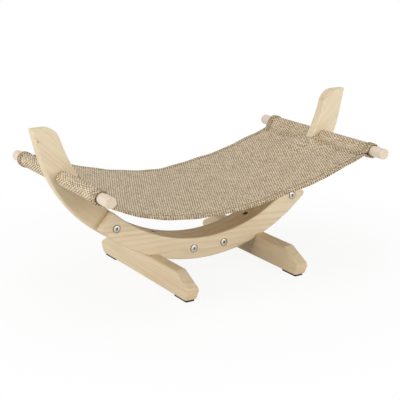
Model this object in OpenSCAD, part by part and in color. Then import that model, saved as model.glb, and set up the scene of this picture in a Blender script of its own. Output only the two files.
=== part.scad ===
// Pet hammock: a woven sling on two dowels, carried by a laminated wooden bow on two feet.
// X runs along the bow, Y from front to rear, Z up. The origin is on the floor, under the middle.

/* [Bow boards] */
// Thickness of every board in the bow
board_t = 18; // [15:0.5:22]
// Depth of the bow boards, across their curve
board_w = 37; // [32:1:44]
// Rounding of every edge of the bow boards
edge_r = 3; // [1:0.5:5]
// Inner radius of the bow
bow_r = 257; // [240:1:275]
// Half angle of the two cheek boards
cheek_angle = 43.5; // [40:0.5:47]

/* [Horns] */
// Angle from straight down at which a horn's outer edge leaves the bow's arc
outer_angle = 35; // [31:0.5:39]
// Straight run of a horn's outer edge between the bow's arc and the elbow
outer_run = 28; // [20:1:36]
// Radius of the elbow in a horn's outer edge
elbow_r = 254; // [238:1:270]
// Angle from straight down at which a horn's inner edge leaves the bow's arc
inner_angle = 50; // [46:0.5:54]
// Radius of a horn's inner edge from there on
inner_r = 312; // [290:1:335]
// Lean of the tip's outer edge from upright
horn_lean = 13; // [8:0.5:18]
// Height of the tip above the end of the elbow
tip_rise = 35.5; // [28:0.5:44]
// Rounding of the tip's inner corner
tip_r = 26; // [15:1:30]
// Gap between the two horns where they butt together under the sling
butt_gap = 0.2; // [0.1:0.1:1]

/* [Dowels] */
// Diameter of the dowels
dowel_d = 18; // [14:0.5:20]
// Length of the dowels
dowel_l = 350; // [320:1:400]
// Angle from straight down, about the elbow's centre, of the dowel's bore
dowel_angle = 63.5; // [61:0.5:66]
// Distance of the dowel's axis from the elbow's outer edge
dowel_in = 20; // [17:0.5:23]
// Chamfer at the ends of the dowels
dowel_end = 1.5; // [0.5:0.5:3]

/* [Sling] */
// Thickness of the woven cloth
cloth_t = 2.6; // [1.6:0.2:3.6]
// Width of the sling, from hem to hem
sling_w = 290; // [240:1:305]
// Depth of the sling's lowest line below the dowels' axes
sling_sag = 57; // [45:1:80]
// Distance from a dowel's axis to the seam that closes its sleeve
seam_l = 18; // [16:0.5:28]
// Width of the turned hem along the front and rear edges
hem_w = 12; // [8:1:20]
// Extra thickness of the hem, on the underside
hem_t = 1.2; // [0.6:0.2:2]

/* [Feet] */
// Distance of each foot's middle from the middle of the bow
foot_x = 106; // [90:1:125]
// Overall length of a foot, from nose to nose
foot_l = 306; // [270:1:340]
// Height of a foot
foot_h = 42; // [38:1:55]
// Thickness of a foot
foot_t = 22; // [18:1:30]
// Length of the slope at each end of a foot
slope_l = 43; // [30:1:60]
// Height of the nose above the underside
nose_h = 20; // [14:1:26]
// Undercut of the nose at the underside
nose_in = 10; // [4:1:16]
// Rounding of every edge of a foot
foot_edge = 4; // [1:0.5:6]
// Depth to which the bow sinks into a foot, at the foot's middle
saddle_d = 3; // [1:0.5:8]

/* [Pads] */
// Length of a pad
pad_l = 38; // [25:1:50]
// Width of a pad
pad_w = 16; // [10:1:18]
// Thickness of a pad
pad_t = 3; // [1.5:0.5:5]
// Corner rounding of a pad
pad_r = 2; // [1:0.5:4]
// Distance of a pad from the end of the foot's underside
pad_in = 3; // [1:1:10]

/* [Fasteners] */
// Diameter of the cheek bolts
bolt_d = 6; // [5:0.5:8]
// Length of a cheek bolt below its head
bolt_l = 36; // [32:1:40]
// Diameter of the heads of the cheek bolts and sleeve nuts
head_d = 12; // [10:0.5:14]
// Height of the heads of the cheek bolts and sleeve nuts
head_h = 2.5; // [2:0.5:4]
// Chamfer round the heads
head_edge = 0.6; // [0.2:0.2:1]
// Width across the flats of the socket in a head
socket_w = 4; // [3:0.5:5]
// Depth of the socket in a head
socket_h = 1.6; // [1:0.2:1.8]
// Outer diameter of the sleeve nuts
nut_d = 9; // [8.5:0.1:10]
// Length of a sleeve nut below its head
nut_l = 22; // [18:1:26]
// Distance along the arc from a cheek's end to its outer bolt
bolt_end = 21; // [14:1:30]
// Distance along the arc from the middle of the bow to an inner bolt
bolt_mid = 30; // [18:1:45]
// Diameter of the foot screws
screw_d = 5; // [4:0.5:6]
// Overall length of a foot screw
screw_l = 45; // [40:1:48]
// Diameter of the head of a foot screw
screw_head_d = 9; // [8:0.5:10]
// Height of the head of a foot screw
screw_head_h = 3.5; // [2.5:0.5:5]
// Length of the point of a foot screw
screw_tip = 7; // [4:1:10]
// Depth of a foot screw's head below the bow's upper edge
screw_sink = 8; // [4:1:12]

/* [Clearances] */
// Clearance all round the fasteners, and between bow and saddle
fit_gap = 0.2; // [0.1:0.05:0.4]
// Clearance all round a thread
thread_gap = 0.05; // [0.05:0.05:0.1]
// Clearance all round a dowel in the bore of its horn
run_gap = 0.08; // [0.05:0.01:0.1]
// Clearance all round a dowel in its sleeve
cloth_gap = 0.4; // [0.3:0.1:1]
// Clearance on each side of a horn in the sling's notch
notch_gap = 3; // [2:0.5:6]
// Clearance between a horn's inner edge and the end of the sling's notch
notch_end = 1.5; // [1:0.5:4]

/* [Hidden] */
$fn = 96;

// Colours of the materials
pine = "#e2c79d";
pale_pine = "#ecd9b8";
beech = "#f0e0c6";
weave = "#b89c7d";
steel = "#b8babd";
rubber = "#1d1c1b";

// Steps round an eased edge, along a horn's arc, elbow and inner edge, and round its tip
ease_steps = 3;
arc_steps = 18;
elbow_steps = 12;
inner_steps = 12;
tip_steps = 8;
// How far a cutter runs past the face that it opens
past = 1;
// Points along the sling's sag, round a sleeve and round its seam
sag_steps = 28;
sleeve_steps = 28;
seam_steps = 6;

// The bow stands on the feet: its outer edge sinks into them by saddle_d
bow_mid_r = bow_r + board_w / 2;
bow_out_r = bow_r + board_w;
foot_top = pad_t + foot_h;
bow_z = foot_top - saddle_d + sqrt(pow(bow_out_r, 2) - pow(foot_x, 2));
stack_t = 3 * board_t;

// Directions at an angle from straight down, in the bow's plane: outwards and along the arc
function outward(a) = [sin(a), -cos(a)];
function along(a) = [cos(a), sin(a)];

// Edges of the right horn: the outer one leaves the bow along a straight run, the inner one in a wider curve
bow = [0, bow_z];
tip_angle = 90 - horn_lean;
elbow = bow + (bow_out_r - elbow_r) * outward(outer_angle) + outer_run * along(outer_angle);
inner = bow + (bow_r - inner_r) * outward(inner_angle);
tip_z = elbow[1] - elbow_r * cos(tip_angle) + tip_rise;

// The dowel's bore lies in the elbow
dowel = elbow + (elbow_r - dowel_in) * outward(dowel_angle);
dowel_r = dowel_d / 2;

// The tip's rounding touches its top and its inner edge
round_drop = inner[1] - tip_z + tip_r;
round_angle = acos(round_drop / (inner_r + tip_r));
round_mid = inner + (inner_r + tip_r) * outward(round_angle);

// The sling's sag is an arc through the dowels' axes, and a seam on it closes each sleeve
sleeve_r = dowel_r + cloth_gap;
sag_r = (pow(dowel[0], 2) + pow(sling_sag, 2)) / (2 * sling_sag);
sag_mid = [0, dowel[1] - sling_sag + sag_r];
seam_angle = asin(dowel[0] / sag_r) - 2 * asin(seam_l / (2 * sag_r));
seam = sag_mid + sag_r * outward(seam_angle);
seam_r = cloth_t / 4;
seam_way = atan2(seam[1] - dowel[1], seam[0] - dowel[0]);
loop_turn = acos((sleeve_r - seam_r) / seam_l);

// The notch ends just short of the horn's inner edge, where the sheet's underside would meet it
sag_low_r = sag_r + cloth_t / 2;
to_inner = inner - sag_mid;
meet_along = (pow(sag_low_r, 2) - pow(inner_r, 2) + pow(norm(to_inner), 2)) / (2 * norm(to_inner));
meet_aside = sqrt(pow(sag_low_r, 2) - pow(meet_along, 2));
meet_x = (to_inner[0] * meet_along - to_inner[1] * meet_aside) / norm(to_inner);
notch_x = meet_x - notch_end;

// Bolts lie on the bow's centre line, screws on the line from its centre to each foot's middle
function arc_angle(length) = length / bow_mid_r * 180 / PI;
bolt_angles = [arc_angle(bolt_mid), cheek_angle - arc_angle(bolt_end)];
screw_angle = asin(foot_x / bow_out_r);

// Undersides of the feet and places of the pads
foot_base = foot_l / 2 - nose_in;
pad_y = foot_base - pad_in - pad_l / 2;

// Points along an arc in the bow's plane, with angles from +X or from straight down
function arc_points(mid, r, a0, a1, steps) =
    [for (i = [0:steps]) let (a = a0 + (a1 - a0) * i / steps) mid + r * [cos(a), sin(a)]];

function hanging_arc(mid, r, a0, a1, steps) = arc_points(mid, r, a0 - 90, a1 - 90, steps);

function reversed(points) = [for (i = [len(points) - 1:-1:0]) points[i]];

// Turns a drawing of the side view upright: its X and Y become X and Z, and it faces the front
module upright() {
    rotate([90, 0, 0]) children();
}

// Places children about the bow's centre
module at_bow() {
    translate([0, 0, bow_z]) upright() children();
}

// Mirrors children to the left for side -1
module on_side(side) {
    mirror([side < 0 ? 1 : 0, 0, 0]) children();
}

// Rectangle with rounded corners
module rounded_rect(size, r) {
    square([size[0] - 2 * r, size[1]], center = true);
    square([size[0], size[1] - 2 * r], center = true);
    for (i = [-1, 1], j = [-1, 1]) {
        translate([i * (size[0] / 2 - r), j * (size[1] / 2 - r)]) circle(r);
    }
}

// Board of thickness t with all its edges rounded by r; outline(d) gives its outline drawn in by d.
// The outline runs out along one edge and back along the other, and each face is a strip between the two.
module eased_board(outline, t, r) {
    turns = [for (i = [0:ease_steps]) 90 * i / ease_steps];
    layers = concat(
        [for (a = turns) [r * (1 - sin(a)), r * (1 - cos(a)) - t / 2]],
        [for (a = reversed(turns)) [r * (1 - sin(a)), t / 2 - r * (1 - cos(a))]]
    );
    n = len(outline(0));
    top = (len(layers) - 1) * n;
    strip = concat(
        [for (i = [0:floor((n - 3) / 2)]) [i, i + 1, n - 1 - i]],
        [for (i = [0:floor((n - 4) / 2)]) [i + 1, n - 2 - i, n - 1 - i]]
    );
    polyhedron(
        [for (layer = layers) for (p = outline(layer[0])) [p[0], p[1], layer[1]]],
        concat(
            strip,
            [for (face = strip) [top + face[2], top + face[1], top + face[0]]],
            [for (k = [0:n:top - n], i = [0:n - 1]) [k + i, k + n + i, k + n + (i + 1) % n]],
            [for (k = [0:n:top - n], i = [0:n - 1]) [k + i, k + n + (i + 1) % n, k + (i + 1) % n]]
        )
    );
}

// Through hole for a bolt from the front and its sleeve nut from the rear, with sunk heads
module bolt_hole() {
    sink_h = head_h + past;
    nut_h = head_h + nut_l + past;
    cylinder(d = bolt_d + 2 * fit_gap, h = stack_t + 2 * past, center = true);
    translate([0, 0, stack_t / 2 - head_h]) cylinder(d = head_d + 2 * fit_gap, h = sink_h);
    translate([0, 0, -stack_t / 2 - past]) cylinder(d = nut_d + 2 * fit_gap, h = nut_h + past);
    translate([0, 0, -stack_t / 2 - past]) cylinder(d = head_d + 2 * fit_gap, h = sink_h);
}

// Places children at the bolts of one half of the bow
module at_bolts(side) {
    for (a = bolt_angles) {
        rotate(side * a) translate([0, -bow_mid_r, 0]) children();
    }
}

// Places children along a foot screw's axis, head at the start
module at_screw(side) {
    rotate(side * screw_angle) translate([0, -bow_r - screw_sink, 0]) rotate([90, 0, 0]) children();
}

// Stepped hole of a foot screw in the bow
module screw_hole() {
    translate([0, 0, -screw_sink - past])
        cylinder(d = screw_head_d + 2 * fit_gap, h = screw_sink + past + screw_head_h);
    cylinder(d = screw_d + 2 * fit_gap, h = board_w);
}

// Outline of the right horn drawn in by d, but not at its butt end: out along the outer edge, then back
function butt_angle(r) = asin(butt_gap / 2 / r);
function tip_corner(d) =
    let (start = elbow + (elbow_r - d) * outward(tip_angle))
    start + (tip_z - d - start[1]) / sin(tip_angle) * along(tip_angle);
function horn_outline(d) = concat(
    hanging_arc(bow, bow_out_r - d, butt_angle(bow_out_r - d), outer_angle, arc_steps),
    hanging_arc(elbow, elbow_r - d, outer_angle, tip_angle, elbow_steps),
    [tip_corner(d)],
    arc_points(round_mid, tip_r - d, 90, 90 + round_angle, tip_steps),
    hanging_arc(inner, inner_r + d, round_angle, inner_angle, inner_steps),
    hanging_arc(bow, bow_r + d, inner_angle, butt_angle(bow_r + d), arc_steps)
);

// Horn: a board that follows the bow, then bends up to carry a dowel
module horn(side) {
    color(pine) on_side(side) difference() {
        upright() eased_board(function (d) horn_outline(d), board_t, edge_r);
        upright() translate(dowel) cylinder(r = dowel_r + run_gap, h = 2 * board_t, center = true);
        at_bow() at_bolts(1) bolt_hole();
        at_bow() at_screw(1) screw_hole();
    }
}

// Cheek: a board that clamps the horns from the front (face 1) or the rear (face -1)
module cheek(face) {
    color(pale_pine) at_bow() difference() {
        translate([0, 0, face * board_t]) rotate(-90 - cheek_angle)
            rotate_extrude(angle = 2 * cheek_angle)
                translate([bow_mid_r, 0]) rounded_rect([board_w, board_t], edge_r);
        for (side = [-1, 1]) {
            at_bolts(side) bolt_hole();
        }
    }
}

// Outline of a foot from front to rear, seen from its end of the bow
foot_corners = [
    [-foot_base, 0],
    [foot_base, 0],
    [foot_l / 2, nose_h],
    [foot_l / 2 - slope_l, foot_h],
    [slope_l - foot_l / 2, foot_h],
    [-foot_l / 2, nose_h]
];

// A convex outline drawn in by d: each corner moves along the normals of its two edges
function edge_normal(a, b) = [b[1] - a[1], a[0] - b[0]] / norm(b - a);
function drawn_in(points, d) = [
    for (i = [0:len(points) - 1])
        let (
            n = len(points),
            before = edge_normal(points[(i + n - 1) % n], points[i]),
            after = edge_normal(points[i], points[(i + 1) % n])
        )
        points[i] - d * (before + after) / (1 + before * after)
];

// Foot: a bar across the bow, with a saddle for it and a hole for its screw
module foot(side) {
    color(pine) on_side(side) difference() {
        translate([foot_x, 0, pad_t]) rotate([90, 0, 90])
            eased_board(function (d) drawn_in(foot_corners, d), foot_t, foot_edge);
        at_bow() cylinder(r = bow_out_r + fit_gap, h = stack_t + 2 * fit_gap, center = true, $fn = 360);
        at_bow() at_screw(1) cylinder(d = screw_d + 2 * thread_gap, h = screw_l + past);
    }
}

// Dowel with chamfered ends
module dowel_rod(side) {
    half = dowel_l / 2;
    color(beech) translate([side * dowel[0], 0, dowel[1]]) upright() rotate_extrude() polygon([
        [0, -half],
        [dowel_r - dowel_end, -half],
        [dowel_r, dowel_end - half],
        [dowel_r, half - dowel_end],
        [dowel_r - dowel_end, half],
        [0, half]
    ]);
}

// Side view of the sheet between the seams; extra thickens its underside
module sheet_section(extra) {
    polygon(concat(
        hanging_arc(sag_mid, sag_r - cloth_t / 2, -seam_angle, seam_angle, sag_steps),
        reversed(hanging_arc(sag_mid, sag_low_r + extra, -seam_angle, seam_angle, sag_steps))
    ));
}

// Side view of the right sleeve's loop, round the dowel and drawn in to the seam
module loop_section(wall) {
    polygon(concat(
        arc_points(dowel, sleeve_r + wall, seam_way + loop_turn, seam_way + 360 - loop_turn, sleeve_steps),
        arc_points(seam, seam_r + wall, seam_way - loop_turn, seam_way + loop_turn, seam_steps)
    ));
}

// Side view of the right sleeve
module sleeve_section() {
    difference() {
        loop_section(cloth_t);
        loop_section(0);
    }
}

// Sling: one cloth that hangs from its two sleeves, with hems and a notch round each horn
module sling() {
    notch_w = board_t + 2 * notch_gap;
    notch_l = dowel[0] + 2 * (sleeve_r + cloth_t) - notch_x;
    color(weave) difference() {
        upright() {
            linear_extrude(sling_w, center = true) {
                sheet_section(0);
                sleeve_section();
                mirror([1, 0]) sleeve_section();
            }
            for (end = [-1, 1]) {
                translate([0, 0, end * (sling_w - hem_w) / 2])
                    linear_extrude(hem_w, center = true) sheet_section(hem_t);
            }
        }
        for (side = [-1, 1]) {
            on_side(side) translate([notch_x, -notch_w / 2, 0]) cube([notch_l, notch_w, tip_z]);
        }
    }
}

// Flat head with a chamfered rim and a hexagonal socket, its top at the origin
module socket_head() {
    difference() {
        union() {
            translate([0, 0, -head_h]) cylinder(d = head_d, h = head_h - head_edge);
            translate([0, 0, -head_edge])
                cylinder(d1 = head_d, d2 = head_d - 2 * head_edge, h = head_edge);
        }
        translate([0, 0, -socket_h]) cylinder(d = socket_w / cos(30), h = socket_h + past, $fn = 6);
    }
}

// Bolts that draw the cheeks and horns together, with their heads at the front
module cheek_bolts() {
    color(steel) at_bow() for (side = [-1, 1]) {
        at_bolts(side) translate([0, 0, stack_t / 2]) {
            socket_head();
            translate([0, 0, -head_h - bolt_l]) cylinder(d = bolt_d, h = bolt_l);
        }
    }
}

// Sleeve nuts that take the bolts from the rear
module cheek_nuts() {
    color(steel) at_bow() for (side = [-1, 1]) {
        at_bolts(side) translate([0, 0, -stack_t / 2]) difference() {
            union() {
                mirror([0, 0, 1]) socket_head();
                translate([0, 0, head_h]) cylinder(d = nut_d, h = nut_l);
            }
            translate([0, 0, head_h]) cylinder(d = bolt_d + 2 * thread_gap, h = nut_l + past);
        }
    }
}

// Screws that hold the bow down on the feet
module foot_screws() {
    color(steel) at_bow() for (side = [-1, 1]) {
        at_screw(side) {
            cylinder(d = screw_head_d, h = screw_head_h);
            cylinder(d = screw_d, h = screw_l - screw_tip);
            translate([0, 0, screw_l - screw_tip]) cylinder(d1 = screw_d, d2 = 0, h = screw_tip);
        }
    }
}

// Pad under one end of a foot; end is -1 at the front and 1 at the rear
module pad(side, end) {
    color(rubber) translate([side * foot_x, end * pad_y, 0])
        linear_extrude(pad_t) rounded_rect([pad_w, pad_l], pad_r);
}

horn(-1);  // left_horn
horn(1);  // right_horn
cheek(1);  // front_cheek
cheek(-1);  // rear_cheek
foot(-1);  // left_foot
foot(1);  // right_foot
dowel_rod(-1);  // left_dowel
dowel_rod(1);  // right_dowel
sling();
cheek_bolts();
cheek_nuts();
foot_screws();
pad(-1, -1);  // front_left_pad
pad(1, -1);  // front_right_pad
pad(-1, 1);  // rear_left_pad
pad(1, 1);  // rear_right_pad
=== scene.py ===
import math

import bpy
import numpy as np
from bpy.props import FloatProperty, FloatVectorProperty, IntProperty, PointerProperty
from mathutils import Matrix, Vector


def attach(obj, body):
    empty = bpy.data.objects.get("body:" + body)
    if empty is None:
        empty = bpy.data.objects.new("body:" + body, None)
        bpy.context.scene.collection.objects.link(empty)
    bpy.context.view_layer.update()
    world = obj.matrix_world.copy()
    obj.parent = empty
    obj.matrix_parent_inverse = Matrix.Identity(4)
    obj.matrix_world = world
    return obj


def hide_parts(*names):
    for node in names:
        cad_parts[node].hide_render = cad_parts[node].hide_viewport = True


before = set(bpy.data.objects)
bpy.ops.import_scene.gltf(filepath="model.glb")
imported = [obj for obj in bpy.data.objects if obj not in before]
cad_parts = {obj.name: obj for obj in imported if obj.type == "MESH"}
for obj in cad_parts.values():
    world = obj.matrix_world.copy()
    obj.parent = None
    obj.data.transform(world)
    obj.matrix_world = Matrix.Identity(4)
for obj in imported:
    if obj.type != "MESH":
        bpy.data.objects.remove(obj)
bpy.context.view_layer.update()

bl_info = {
    "name": "Pet Hammock",
    "version": (1, 0, 0),
    "blender": (4, 5, 0),
    "location": "3D View > Sidebar > Hammock",
    "description": "Dresses a wooden pet hammock: pine boards, woven sling, stitches, fasteners and a studio",
    "category": "Object",
}


# Sizes and colours


def number(name, description, default, **more):
    return FloatProperty(name=name, description=description, default=default, **more)


def length(name, description, default):
    return number(name, description, default, min=0.0, precision=5, unit="LENGTH", subtype="DISTANCE")


def offset(name, description, default):
    return number(name, description, default, precision=5, unit="LENGTH", subtype="DISTANCE")


def angle(name, description, degrees):
    return number(name, description, math.radians(degrees), unit="ROTATION", subtype="ANGLE")


def power(name, description, watts):
    return number(name, description, watts, min=0.0, unit="POWER")


def colour(name, description, default):
    return FloatVectorProperty(
        name=name, description=description, default=default, size=3, min=0.0, max=1.0, subtype="COLOR"
    )


class HammockBow(bpy.types.PropertyGroup):
    """Sizes of the horns and the cheeks."""

    board_t: length("Board thickness", "Thickness of every board in the bow", 0.018)
    board_w: length("Board depth", "Depth of the bow boards across their curve", 0.037)
    edge_r: length("Edge rounding", "Rounding of the boards' edges", 0.003)
    bow_r: length("Bow radius", "Inner radius of the bow", 0.257)
    cheek_angle: angle("Cheek angle", "Half angle of a cheek board", 43.5)
    outer_angle: angle("Outer angle", "Angle at which a horn's outer edge leaves the bow", 35)
    outer_run: length("Outer run", "Straight run of a horn's outer edge", 0.028)
    elbow_r: length("Elbow radius", "Radius of the elbow in a horn's outer edge", 0.254)
    inner_angle: angle("Inner angle", "Angle at which a horn's inner edge leaves the bow", 50)
    inner_r: length("Inner radius", "Radius of a horn's inner edge", 0.312)
    horn_lean: angle("Horn lean", "Lean of the tip's outer edge from upright", 13)
    tip_rise: length("Tip rise", "Height of the tip above the elbow", 0.0355)
    tip_r: length("Tip rounding", "Rounding of the tip's inner corner", 0.026)
    butt_gap: length("Butt gap", "Gap between the two horns", 0.0002)


class HammockFoot(bpy.types.PropertyGroup):
    """Sizes of the feet and their pads."""

    foot_x: length("Foot place", "Distance of each foot from the middle of the bow", 0.106)
    foot_l: length("Foot length", "Length of a foot from nose to nose", 0.306)
    foot_h: length("Foot height", "Height of a foot", 0.042)
    foot_t: length("Foot thickness", "Thickness of a foot", 0.022)
    slope_l: length("Slope", "Length of the slope at each end of a foot", 0.043)
    nose_h: length("Nose height", "Height of the nose above the underside", 0.02)
    nose_in: length("Nose undercut", "Undercut of the nose at the underside", 0.01)
    foot_edge: length("Edge rounding", "Rounding of a foot's edges", 0.004)
    corner_r: length("Corner rounding", "Rounding of the corners in a foot's outline", 0.007)
    saddle_d: length("Saddle depth", "Depth to which the bow sinks into a foot", 0.003)
    saddle_gap: length("Saddle gap", "Clearance between the bow and its saddle", 0.0002)
    pad_l: length("Pad length", "Length of a pad", 0.038)
    pad_w: length("Pad width", "Width of a pad", 0.016)
    pad_t: length("Pad thickness", "Thickness of a pad", 0.003)
    pad_r: length("Pad corner", "Corner rounding of a pad", 0.002)
    pad_edge: length("Pad edge", "Rounding of a pad's edges", 0.0006)
    pad_in: length("Pad inset", "Distance of a pad from the end of the underside", 0.003)


class HammockDowel(bpy.types.PropertyGroup):
    """Sizes of the dowels and their bores."""

    dowel_d: length("Diameter", "Diameter of a dowel", 0.018)
    dowel_l: length("Length", "Length of a dowel", 0.35)
    dowel_angle: angle("Bore angle", "Angle of the bore about the elbow's centre", 63.5)
    dowel_in: length("Bore inset", "Distance of the bore's axis from the elbow's outer edge", 0.02)
    end_r: length("End rounding", "Rounding of a dowel's ends", 0.0022)
    run_gap: length("Running gap", "Clearance of a dowel in its bore", 0.00008)


class HammockSling(bpy.types.PropertyGroup):
    """Sizes of the woven sling and its seams."""

    cloth_t: length("Cloth thickness", "Thickness of the cloth", 0.0014)
    width: length("Width", "Width of the sling from hem to hem", 0.29)
    sag: length("Sag", "Depth of the lowest line below the dowels' axes", 0.057)
    sleeve_gap: length("Sleeve gap", "Clearance of a dowel in its sleeve", 0.001)
    seam_l: length("Seam", "Distance from a dowel's axis to the seam that closes its sleeve", 0.017)
    seam_round: length("Seam rounding", "Length over which the cloth bends at a seam", 0.005)
    flap_l: length("Flap", "Length of the sleeve's flap that lies on the sheet", 0.006)
    flap_in: length("Flap inset", "How much a flap's corners are cut back", 0.007)
    hem_w: length("Hem", "Width of the turned hem", 0.012)
    hem_seam: length("Hem seam", "Distance of a hem's stitches from its edge", 0.0095)
    groove: length("Groove", "Depth to which a hem's stitches draw in the cloth", 0.0009)
    groove_w: length("Groove width", "Half width of the groove along a hem's stitches", 0.0015)
    curl: length("Curl", "How far the front hem hangs below the sheet", 0.003)
    curl_w: length("Curl width", "Width of the edge that hangs down", 0.0115)
    rise: offset("Rise", "How far the sheet hangs above its plain arc", 0.0018)
    front_left: offset("Front left", "Lift of the front edge in the left half", -0.0118)
    front_right: offset("Front right", "Lift of the front edge in the right half", 0.008)
    rear_left: offset("Rear left", "Lift of the rear edge in the left half", 0.008)
    rear_right: offset("Rear right", "Lift of the rear edge in the right half", 0.0025)
    end_drop: length("End drop", "Drop of the sheet towards the right sleeve", 0.005)
    notch_x: length("Notch", "Distance of a notch's end from the middle", 0.2255)
    notch_w: length("Notch width", "Width of the notch round a horn", 0.0202)
    ride: length("Ride", "How far the cloth rides up at a horn", 0.0115)
    crease: length("Crease", "Depth of the creases from a notch's corners", 0.0016)
    stitch_l: length("Stitch", "Length of a stitch", 0.0028)
    stitch_d: length("Thread", "Thickness of the stitching thread", 0.0010)
    stitch_pitch: length("Stitch pitch", "Distance from stitch to stitch", 0.0037)
    dot_d: length("Edge stitch", "Size of the stitches that bind the hems' edges", 0.0012)
    yarn: length("Yarn", "Pitch of the yarns in the weave", 0.0021)
    float_l: length("Float", "Distance from float to float along a yarn", 0.0084)


class HammockFasteners(bpy.types.PropertyGroup):
    """Sizes of the bolts, sleeve nuts and screws."""

    bolt_d: length("Bolt", "Diameter of a bolt", 0.006)
    bolt_l: length("Bolt length", "Length of a bolt below its head", 0.036)
    head_d: length("Head", "Diameter of a head", 0.012)
    head_h: length("Head height", "Height of a head", 0.0025)
    head_rise: length("Head rise", "Height of a head above the board's face", 0.0009)
    socket_w: length("Socket", "Width across the flats of a socket", 0.004)
    socket_h: length("Socket depth", "Depth of a socket", 0.0016)
    nut_d: length("Nut", "Diameter of a sleeve nut", 0.009)
    nut_l: length("Nut length", "Length of a sleeve nut below its head", 0.022)
    bolt_end: length("Outer bolt", "Distance along the arc from a cheek's end to its outer bolt", 0.021)
    bolt_mid: length("Inner bolt", "Distance along the arc from the middle to an inner bolt", 0.03)
    screw_d: length("Screw", "Diameter of a foot screw", 0.005)
    screw_l: length("Screw length", "Length of a foot screw", 0.045)
    screw_head_d: length("Screw head", "Diameter of a screw's head", 0.009)
    screw_head_h: length("Screw head height", "Height of a screw's head", 0.0035)
    screw_sink: length("Screw sink", "Depth of a screw's head below the bow's upper edge", 0.008)
    fit_gap: length("Fit gap", "Clearance round the fasteners", 0.0002)
    head_gap: length("Head gap", "Clearance round a head", 0.0011)
    seed: IntProperty(name="Seed", description="Seed for how far each fastener is turned", default=7)


class HammockFinish(bpy.types.PropertyGroup):
    """Colours of the finishes."""

    pine_pale: colour("Pale pine", "Early wood of the boards", (0.77, 0.66, 0.475))
    pine_tan: colour("Tan pine", "Warm tone of the boards", (0.62, 0.46, 0.27))
    pine_line: colour("Grain line", "Late wood of the boards", (0.40, 0.25, 0.12))
    dowel_pale: colour("Dowel", "Pale tone of the dowels", (0.79, 0.69, 0.56))
    dowel_tan: colour("Dowel grain", "Darker tone of the dowels", (0.64, 0.52, 0.38))
    yarn_pale: colour("Pale yarn", "Pale yarn of the weave", (0.86, 0.72, 0.51))
    yarn_dark: colour("Dark yarn", "Dark yarn of the weave", (0.18, 0.105, 0.045))
    edge_thread: colour("Edge thread", "Thread that binds the hems' edges", (0.20, 0.14, 0.085))
    seam_thread: colour("Seam thread", "Thread in the seams", (0.20, 0.145, 0.09))
    steel: colour("Steel", "Bolts, nuts and screws", (0.54, 0.515, 0.47))
    rubber: colour("Rubber", "Pads", (0.012, 0.011, 0.010))


class HammockStage(bpy.types.PropertyGroup):
    """Camera and lights."""

    lens: number("Lens", "Focal length in millimetres", 96.43, min=1.0, unit="CAMERA")
    yaw: angle("Yaw", "Turn of the camera from straight ahead to the right", 31.36)
    pitch: angle("Pitch", "Tilt of the camera below level", 15.95)
    roll: angle("Roll", "Roll of the camera", -0.85)
    place: FloatVectorProperty(
        name="Place",
        description="Place of the camera",
        default=(-0.91084, -1.49440, 0.62499),
        unit="LENGTH",
        subtype="XYZ",
    )
    rise: number("Rise", "Vertical shift of the picture, as a share of its width", -0.0125)
    key: power("Key", "Power of the key light", 29.0)
    fill: power("Fill", "Power of the fill light", 40.5)
    top: power("Top", "Power of the top light", 9.0)
    room: number("Room", "Strength of the light from all round", 0.42, min=0.0)
    shadow: number(
        "Shadow", "Share of the floor's shading that shows", 0.10, min=0.0, max=1.0, subtype="FACTOR"
    )
    shadow_r: length("Shadow reach", "Distance from the middle at which the floor's shading ends", 0.62)


class HammockSizes(bpy.types.PropertyGroup):
    """Everything that a user would change."""

    bow: PointerProperty(type=HammockBow)
    foot: PointerProperty(type=HammockFoot)
    dowel: PointerProperty(type=HammockDowel)
    sling: PointerProperty(type=HammockSling)
    fasteners: PointerProperty(type=HammockFasteners)
    finish: PointerProperty(type=HammockFinish)
    stage: PointerProperty(type=HammockStage)


def sizes():
    """The sizes and colours that are set in this scene."""
    return bpy.context.scene.hammock


# Lines of the bow, in its own plane: X to the right and Z up


def outward(a):
    """Direction at an angle from straight down."""
    return np.array((math.sin(a), -math.cos(a)))


def along(a):
    """Direction along an arc at an angle from straight down, or straight out at that angle from X."""
    return np.array((math.cos(a), math.sin(a)))


def smooth(value, low, high):
    """From 0 at low to 1 at high, smoothly."""
    t = np.clip((value - low) / (high - low), 0.0, 1.0)
    return t * t * (3 - 2 * t)


def hanging_arc(mid, r, a0, a1, steps):
    """Points on an arc, with angles from straight down."""
    return [mid + r * outward(a) for a in np.linspace(a0, a1, steps + 1)]


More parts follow.
